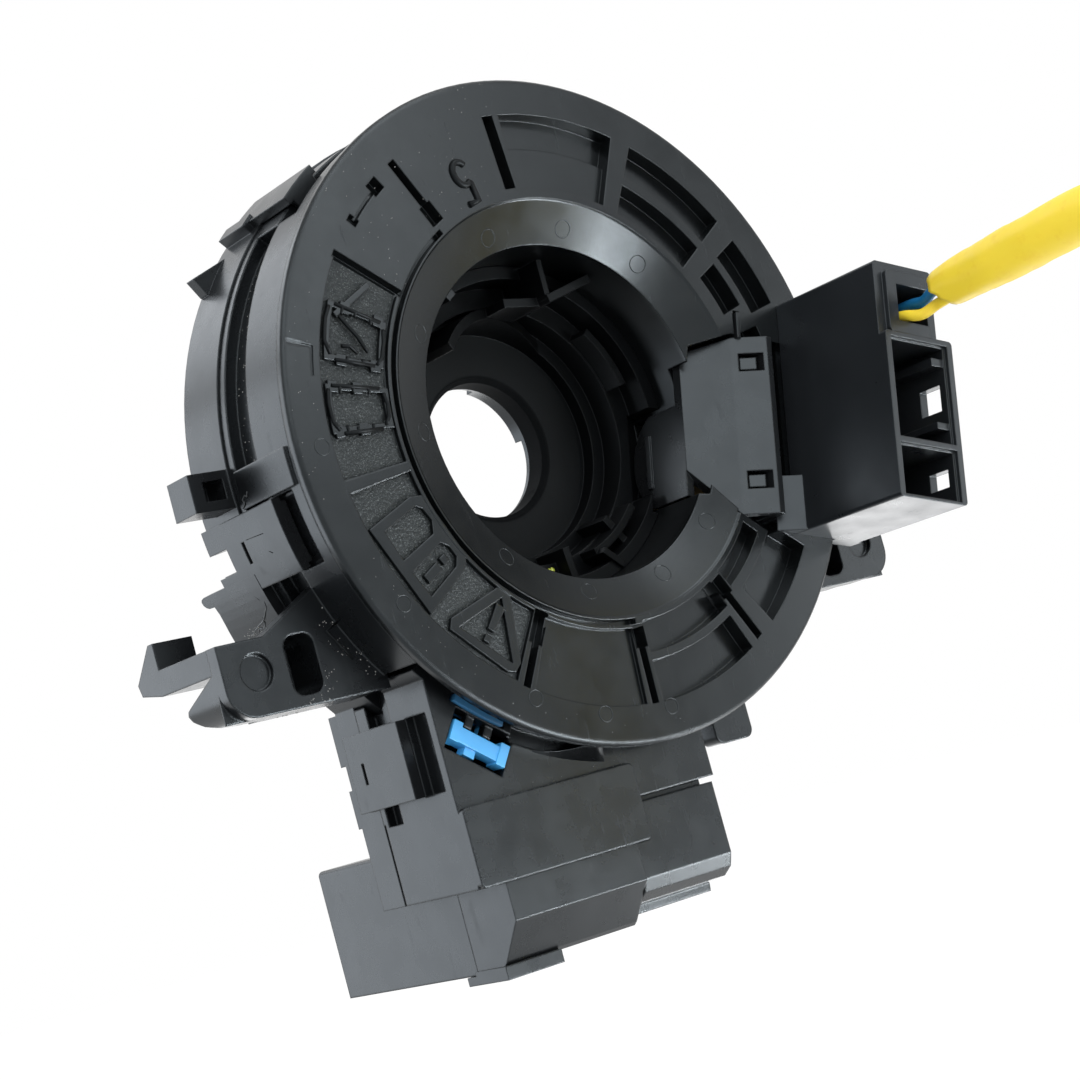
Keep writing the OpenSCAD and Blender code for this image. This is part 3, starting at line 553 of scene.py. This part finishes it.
def build_panel(first, last):
    """The build call of one panel's grain."""

    def build(bm):
        across = int((PANEL_OUTER - PANEL_INNER) / PANEL_CELL)
        along = int(math.radians(last - first) * PANEL_OUTER / PANEL_CELL)
        rows = []
        for r in steps(PANEL_INNER, PANEL_OUTER, across):
            row = []
            for a in steps(first, last, along):
                flat = rotor_polar(r, a, PANEL_FLOOR)
                pips = noise.noise(flat * PIP_SCALE) * PIP_REACH
                row.append(bm.verts.new(flat - BACKWARDS * ((PIP_MIDDLE + pips) * MM)))
            rows.append(row)
        for low, high in zip(rows, rows[1:]):
            for k in range(along - 1):
                bm.faces.new((low[k], low[k + 1], high[k + 1], high[k]))

    return build


for i, span in enumerate(PANELS):
    mesh_piece(f"panel_grain_{i}", build_panel(*span), PANEL_SKIN, "rotor")

# Raised mould lines along the frames of the panels' signs; their dark, dull skin is painted shade

FRAME_TOP = 0.05  # station of the raised frames
LINE_STEP = 1.2  # degrees between the points of a round stretch
SIGN_BEAD, TICK_BEAD = 0.27 * MM, 0.22 * MM


def polar_line(*corners):
    """A line through places given as (radius, degrees), with round stretches kept round."""
    points = []
    for (r0, a0), (r1, a1) in zip(corners, corners[1:]):
        count = max(2, int(abs(a1 - a0) / LINE_STEP) + 2)
        places = list(zip(steps(r0, r1, count), steps(a0, a1, count)))
        points += [rotor_polar(r, a, FRAME_TOP) for r, a in places[:-1]]
    return [*points, rotor_polar(*corners[-1], FRAME_TOP)]


SIGN_LINES = [  # radius and degrees of each corner
    ((41.0, 169.2), (41.3, 172), (41.2, 176.2), (40.3, 178.4)),
    ((32.6, 170), (32.3, 173), (32.5, 177), (33.2, 178.8)),
    ((40.2, 168.4), (33.2, 168.5)),
    ((39.6, 179.4), (33.6, 179.2)),
    ((39.4, 170.4), (36.4, 173.4), (34.6, 176.4)),
    ((36.2, 177.2), (37.4, 176.0), (38.6, 176.4)),
    ((41.0, 185.2), (41.2, 188), (41.0, 191.4), (40.2, 193.0)),
    ((32.6, 185.4), (32.2, 188), (32.3, 191), (33.0, 192.8)),
    ((40.4, 184.5), (33.2, 184.4)),
    ((39.6, 193.7), (33.6, 193.6)),
]
TICKS = [  # the same for the two ends of each short bar
    ((34.6, 168.2), (34.6, 170.0)), ((37.0, 168.2), (37.0, 169.6)), ((39.0, 168.2), (39.0, 170.0)),
    ((35.4, 179.6), (35.4, 178.2)), ((37.8, 179.6), (37.8, 178.4)), ((34.8, 184.2), (34.8, 185.8)),
    ((37.2, 184.2), (37.2, 185.6)), ((39.2, 184.2), (39.2, 186.0)), ((35.0, 193.8), (35.0, 192.4)),
    ((37.4, 193.8), (37.4, 192.6)), ((39.0, 193.8), (39.0, 192.2)),
]


def build_sign_lines(bm):
    for line in SIGN_LINES:
        add_tube(bm, polar_line(*line), SIGN_BEAD, 8)
    for tick in TICKS:
        add_tube(bm, polar_line(*tick), TICK_BEAD, 6)


mesh_piece("sign_lines", build_sign_lines, LINE_SHADE_SKIN, "rotor")

# A plain number on the smooth panel beside the long groove; its dark, dull skin is painted shade

NUMBER_CENTRE = (34.3, 121.5)  # radius and degrees
NUMBER_STATION = 0.02
NUMBER_HEIGHT = 6.2  # mm
NUMBER_WIDTH = 0.72  # against its height
NUMBER_BEAD = 0.5 * MM


def build_number(bm):
    """A five in raised strokes, its top towards the bore."""
    centre = rotor_polar(*NUMBER_CENTRE, NUMBER_STATION)
    a = math.radians(NUMBER_CENTRE[1])
    up = rotor_at(-math.cos(a), SEAT_Y, -math.sin(a))
    right = BACKWARDS.cross(up)
    half = NUMBER_HEIGHT / 2
    bowl = [
        (0.58 * math.cos(t) - 0.08, 0.55 * math.sin(t) - 0.42)
        for t in steps(math.radians(120), math.radians(-150), 18)
    ]
    stroke = [(0.46, 0.97), (-0.34, 0.97), (-0.42, 0.10), *bowl]
    places = [centre + (right * x * NUMBER_WIDTH + up * y) * half for x, y in stroke]
    add_tube(bm, places, NUMBER_BEAD, 10)


mesh_piece("plain_number", build_number, LINE_SHADE_SKIN, "rotor")

# Round marks of the ejector pins on the rim and on the ring's cone

RIM_MARK, RING_MARK = 1.1, 1.25  # radius of a mark, mm
MARK_BEAD, MARK_POINTS = 0.07 * MM, 40
RIM_MARKS = [(43.6, 195.5), (43.6, 225.3), (43.2, 255.7), (43.2, 271.0), (43.1, 286.4)]
RING_MARKS = [
    (26.4, 90.7), (26.7, 61.4), (26.2, 120.4), (26.0, 164.7), (26.2, 195.3),
    (26.0, 240.2), (26.0, 271.2), (26.0, 301.7), (26.2, 328.6),
]


def add_mark(bm, radius, degrees, size, station, slope):
    """A fine circle on a face that falls back by slope towards the axis."""
    centre = rotor_polar(radius, degrees, station)
    outward = (rotor_polar(radius + 1, degrees, station) - centre).normalized()
    outward = (outward - BACKWARDS * slope).normalized()
    around = BACKWARDS.cross(outward).normalized()
    path = [
        centre + size * MM * (math.cos(t) * outward + math.sin(t) * around)
        for t in steps(0, 2 * math.pi, MARK_POINTS + 1)[:-1]
    ]
    add_tube(bm, path, MARK_BEAD, 6, closed=True)


def build_marks(bm):
    for radius, degrees in RIM_MARKS:
        add_mark(bm, radius, degrees, RIM_MARK, 0, 0)
    for radius, degrees in RING_MARKS:
        station = RING_FRONT + (RING_OUTER - radius) * CONE_SLOPE
        add_mark(bm, radius, degrees, RING_MARK, station, CONE_SLOPE)


mesh_piece("ejector_marks", build_marks, RIM_MARK_SKIN, "rotor")

# Web of the latch arm's finger, with the smooth rear edge that the arm's own steps stand in for

WEB_INNER, WEB_OUTER, WEB_FRONT = 47.16, 48.54, 17.9
WEB_EDGE = [  # degrees and station of the rear edge
    (194.84, 26.2), (194.9, 31.8), (195.1, 32.5), (195.5, 32.8), (196.1, 32.7), (196.6, 32.3),
    (196.92, 31.7), (197.0, 30.4), (198.4, 30.2), (200.0, 30.3), (201.6, 30.5), (203.4, 30.7),
    (205.0, 30.9), (206.4, 31.0),
]


def build_web(bm):
    rings = []
    for a, back in WEB_EDGE:
        corners = (
            (WEB_INNER, WEB_FRONT),
            (WEB_OUTER, WEB_FRONT),
            (WEB_OUTER, back),
            (WEB_INNER, back),
        )
        rings.append([case_polar(r, a, station) for r, station in corners])
    add_strip(bm, rings)


mesh_piece("latch_web", build_web, WEB_SKIN, "stator", smooth=False)

# Fine raised lines whose dark, dull skin is painted shade: the mark on the ear's neck and lines on
# the latch arm

NECK_MARK = [(-40.8, -21.3), (-43.5, -22.4), (-40.6, -26.7)]  # x and z
NECK_BEAD, ARM_LINE_BEAD = 0.24 * MM, 0.06 * MM
ARM_LINES = [  # degrees and station
    ((189.5, 16.2), (189.7, 11.9)),
    ((192.6, 12.3), (193.0, 11.7)),
    ((198.0, 20.4), (198.8, 19.8)),
]


def build_case_lines(bm):
    add_tube(bm, [at(x, EAR_FRONT, z) for x, z in NECK_MARK], NECK_BEAD, 8)
    for ends in ARM_LINES:
        add_tube(bm, [case_polar(ARM, a, station) for a, station in ends], ARM_LINE_BEAD, 6)


mesh_piece("case_lines", build_case_lines, LINE_SHADE_SKIN, "stator")

# Run-out at the end of the crescent recess under the flange

RUN_OUT_BACK = 6.0  # station behind the recess's floor
RUN_OUT_FRONT = 4.49  # station a hair before the block's front
RUN_OUT_OUTER = 48.85  # radius within the solid outside the recess
RUN_OUT = [  # degrees, outer radius of the narrowing recess, station of the wall's front
    (-115.0, 48.5, 4.45), (-112.5, 48.3, 4.35), (-110.0, 47.9, 4.1), (-107.5, 47.35, 3.6),
    (-105.0, 46.75, 2.8), (-103.0, 46.3, 2.13), (-100.9, 45.95, 2.13),
]


def build_run_out(bm):
    rings = []
    for a, inner, top in RUN_OUT:
        wall = max(CASE_WALL, inner + 0.15)
        corners = (
            (inner, RUN_OUT_BACK),
            (RUN_OUT_OUTER, RUN_OUT_BACK),
            (RUN_OUT_OUTER, RUN_OUT_FRONT),
            (wall, RUN_OUT_FRONT),
            (wall, top),
            (inner, top),
        )
        rings.append([case_polar(r, a, station) for r, station in corners])
    add_strip(bm, rings)


mesh_piece("crescent_run_out", build_run_out, RUN_OUT_SKIN, "stator")

# Dust on the front, flash and crumbs at the ear, and a smear of grease in the bore

SEED = 11
dice = random.Random(SEED)  # the pieces draw in turn, so their order stays
noise.seed_set(SEED)  # for noise_vector, which takes its offsets from the clock otherwise


def add_speck(bm, place, smallest, largest):
    """A small uneven crumb, with a radius drawn between two in mm."""
    size = dice.uniform(smallest, largest) * MM
    result = bmesh.ops.create_icosphere(bm, subdivisions=1, radius=size)
    for v in result["verts"]:
        v.co = v.co * dice.uniform(0.55, 1.25) + place


ROTOR_DUST = [  # on the rim and on the smooth panel: count, degrees, radii and sizes
    (70, (100, 290), (43, 47), (0.03, 0.07)),
    (50, (112, 158), (31, 42), (0.03, 0.08)),
]


def build_rotor_dust(bm):
    for count, degrees, radii, sizes in ROTOR_DUST:
        for _ in range(count):
            a, r = dice.uniform(*degrees), dice.uniform(*radii)
            add_speck(bm, rotor_polar(r, a, 0), *sizes)


EAR_CRUMBS = [  # x and z
    (-42.2, -24.4), (-41.7, -25.6), (-43.1, -21.0), (-42.0, -21.8), (-39.3, -26.3), (-38.6, -28.4),
    (-44.9, -28.0), (-44.8, -29.6), (-46.4, -30.6), (-48.2, -30.6),
]
ARM_CRUMBS = 203.3  # degrees of the line of crumbs down the latch arm
FLASH_CURLS = [  # radius of each curl from the axis, then degrees and station along it
    (
        ARM,
        [
            (199.2, 19.0), (200.4, 19.4), (201.0, 20.2), (202.0, 21.6), (202.3, 22.8),
            (203.0, 24.6), (203.7, 26.4),
        ],
    ),
    (ARM, [(201.6, 21.4), (202.6, 21.8), (203.2, 22.6), (203.0, 23.6), (203.6, 24.4)]),
    (
        47.4,
        [
            (184.6, 15.8), (184.1, 15.1), (183.4, 15.3), (182.9, 14.6), (183.3, 14.1),
            (182.6, 13.7),
        ],
    ),
]
FLASH_BEAD, FLASH_WRIGGLE = 0.10 * MM, 0.12 * MM
FLASH_LIFT = 0.05  # mm off the wall


def build_flash(bm):
    """Thin curls of flash along the joints."""
    for radius, route in FLASH_CURLS:
        route = [case_polar(radius + FLASH_LIFT, a, station) for a, station in route]
        path = smoothed(route, per_stretch=5)
        path = [p + FLASH_WRIGGLE * noise.noise_vector(p * 900) for p in path]
        add_tube(bm, path, FLASH_BEAD, 6)


def build_case_dust(bm):
    """Specks on the block, in the groove, down the latch arm, and on and under the ear."""
    for _ in range(60):
        place = at(dice.uniform(-33, -6), BLOCK_FRONT, dice.uniform(-58, -48))
        add_speck(bm, place, 0.03, 0.07)
    for _ in range(150):
        place = case_polar(GROOVE, dice.uniform(120, 195), dice.uniform(10.4, 15.6))
        add_speck(bm, place, 0.04, 0.11)
    for _ in range(60):
        place = case_polar(ARM, ARM_CRUMBS + dice.gauss(0, 0.5), dice.uniform(19, 28))
        add_speck(bm, place, 0.04, 0.13)
    for x, z in EAR_CRUMBS:
        for _ in range(7):
            place = at(x + dice.gauss(0, 0.5), EAR_FRONT, z + dice.gauss(0, 0.5))
            add_speck(bm, place, 0.04, 0.10)
    for _ in range(30):
        place = at(dice.uniform(-50, -43), dice.uniform(13, 17.5), EAR_UNDERSIDE)
        add_speck(bm, place, 0.05, 0.14)


DUST = moulded("dust", (0.32, 0.32, 0.31), 0.7, edge=0.02)
FLASH_SKIN = moulded("flash_skin", (0.03, 0.031, 0.032), 0.3, edge=0.02, specular=0.5)
mesh_piece("rotor_dust", build_rotor_dust, DUST, "rotor")
mesh_piece("case_dust", build_case_dust, DUST, "stator")
mesh_piece("case_flash", build_flash, FLASH_SKIN, "stator")


GREASE_DEGREES, GREASE_RADIUS, GREASE_STATION = 284.5, 20.2, 15.9


def build_grease(bm):
    """A smear of grease on the hub's step."""
    for _ in range(9):
        a = GREASE_DEGREES + dice.uniform(-2.6, 2.6)
        r = GREASE_RADIUS + dice.uniform(-0.7, 0.7)
        add_speck(bm, rotor_polar(r, a, GREASE_STATION), 0.25, 0.5)


GREASE = moulded("grease", (0.42, 0.48, 0.06), 0.3, edge=0.1, specular=0.6)
mesh_piece("grease_smear", build_grease, GREASE, "rotor")

# Floor and light

FLOOR_Z = -0.32
FLOOR_HALF = 6.0
FLOOR_GREY = 0.86
FLOOR_GLOW, FLOOR_SHARE = 1.1, 0.88  # strength of the floor's white, and the share of it seen
WORLD_LIGHT, WORLD_SEEN = 0.7, 1.0  # strengths of the world, on the part and to the eye


def camera_white(tree, lit, white, share):
    """Shows a share of plain white to the camera, to reflections and through clear things."""
    path = tree.nodes.new("ShaderNodeLightPath")
    seen = path.outputs["Is Camera Ray"]
    for other in ("Is Glossy Ray", "Is Transmission Ray"):
        either = tree.nodes.new("ShaderNodeMath")
        either.operation = "MAXIMUM"
        tree.links.new(seen, either.inputs[0])
        tree.links.new(path.outputs[other], either.inputs[1])
        seen = either.outputs[0]
    scaled = tree.nodes.new("ShaderNodeMath")
    scaled.operation = "MULTIPLY"
    scaled.inputs[1].default_value = share
    tree.links.new(seen, scaled.inputs[0])
    mixed = tree.nodes.new("ShaderNodeMixShader")
    tree.links.new(scaled.outputs[0], mixed.inputs["Fac"])
    tree.links.new(lit.outputs[0], mixed.inputs[1])
    tree.links.new(white.outputs[0], mixed.inputs[2])
    return mixed


floor_material = bpy.data.materials.new("floor_white")
floor_material.use_nodes = True
tree = floor_material.node_tree
tree.nodes.clear()
diffuse = tree.nodes.new("ShaderNodeBsdfDiffuse")
diffuse.inputs["Color"].default_value = (FLOOR_GREY, FLOOR_GREY, FLOOR_GREY, 1)
glow = tree.nodes.new("ShaderNodeEmission")
glow.inputs["Strength"].default_value = FLOOR_GLOW
surface = camera_white(tree, diffuse, glow, FLOOR_SHARE)
tree.links.new(surface.outputs[0], tree.nodes.new("ShaderNodeOutputMaterial").inputs["Surface"])

floor_mesh = bpy.data.meshes.new("floor")
floor_mesh.from_pydata(
    [(x * FLOOR_HALF, y * FLOOR_HALF, FLOOR_Z) for x, y in ((-1, -1), (1, -1), (1, 1), (-1, 1))],
    [],
    [(0, 1, 2, 3)],
)
floor_mesh.materials.append(floor_material)
floor = bpy.data.objects.new("floor", floor_mesh)
bpy.context.collection.objects.link(floor)

world = bpy.data.worlds.new("studio")
bpy.context.scene.world = world
world.use_nodes = True
tree = world.node_tree
tree.nodes.clear()
backgrounds = []
for strength in (WORLD_LIGHT, WORLD_SEEN):
    background = tree.nodes.new("ShaderNodeBackground")
    background.inputs["Color"].default_value = (1, 1, 1, 1)
    background.inputs["Strength"].default_value = strength
    backgrounds.append(background)
surface = camera_white(tree, *backgrounds, 1.0)
tree.links.new(surface.outputs[0], tree.nodes.new("ShaderNodeOutputWorld").inputs["Surface"])

MIDDLE = Vector((0, -0.02, -0.01))  # what the lamps face
SKYLIGHT = (0.93, 0.98, 1.05)


def softbox(name, direction, distance, size, brightness, glossy_only=False, colour=(1, 1, 1)):
    """A rectangular lamp that faces the part; brightness 1 is as bright as the backdrop.

    glossy_only=True is for lamps that are only mirrored and light no colours.
    """
    light = bpy.data.lights.new(name, "AREA")
    light.shape = "RECTANGLE"
    light.size, light.size_y = size
    light.energy = brightness * math.pi * size[0] * size[1]
    light.color = colour
    lamp = bpy.data.objects.new(name, light)
    bpy.context.collection.objects.link(lamp)
    away = Vector(direction).normalized()
    lamp.location = MIDDLE + away * distance
    lamp.rotation_euler = (-away).to_track_quat("-Z", "Y").to_euler()
    lamp.visible_camera = False
    lamp.visible_diffuse = not glossy_only


softbox("key", (-0.45, -0.75, 0.5), 1.1, (0.7, 0.7), 3.4)
softbox("top", (0.25, -0.62, 0.74), 0.9, (0.5, 0.4), 4.6)
softbox("flange", (0.455, -0.82, 0.342), 1.3, (0.42, 0.45), 2.9)
softbox("side", (-0.62, 0.76, 0.10), 1.2, (1.0, 0.8), 2.4, colour=SKYLIGHT)
softbox("high", (-0.26, 0.74, 0.62), 1.0, (0.6, 0.4), 1.9, colour=SKYLIGHT)
softbox("low", (0.37, -0.862, -0.345), 0.75, (0.2, 0.19), 32.0, glossy_only=True)
softbox("rim", (0.50, -0.64, -0.57), 0.50, (0.30, 0.07), 62.0, glossy_only=True)
softbox("chamfer", (0.64, -0.13, -0.755), 0.39, (0.24, 0.20), 3.8, glossy_only=True)
softbox("right", (0.777, -0.629, 0.035), 1.15, (0.22, 0.26), 3.4, glossy_only=True)
softbox("below", (0.47, 0.76, -0.49), 0.55, (0.36, 0.18), 3.6)

bpy.context.scene.view_settings.view_transform = "Standard"
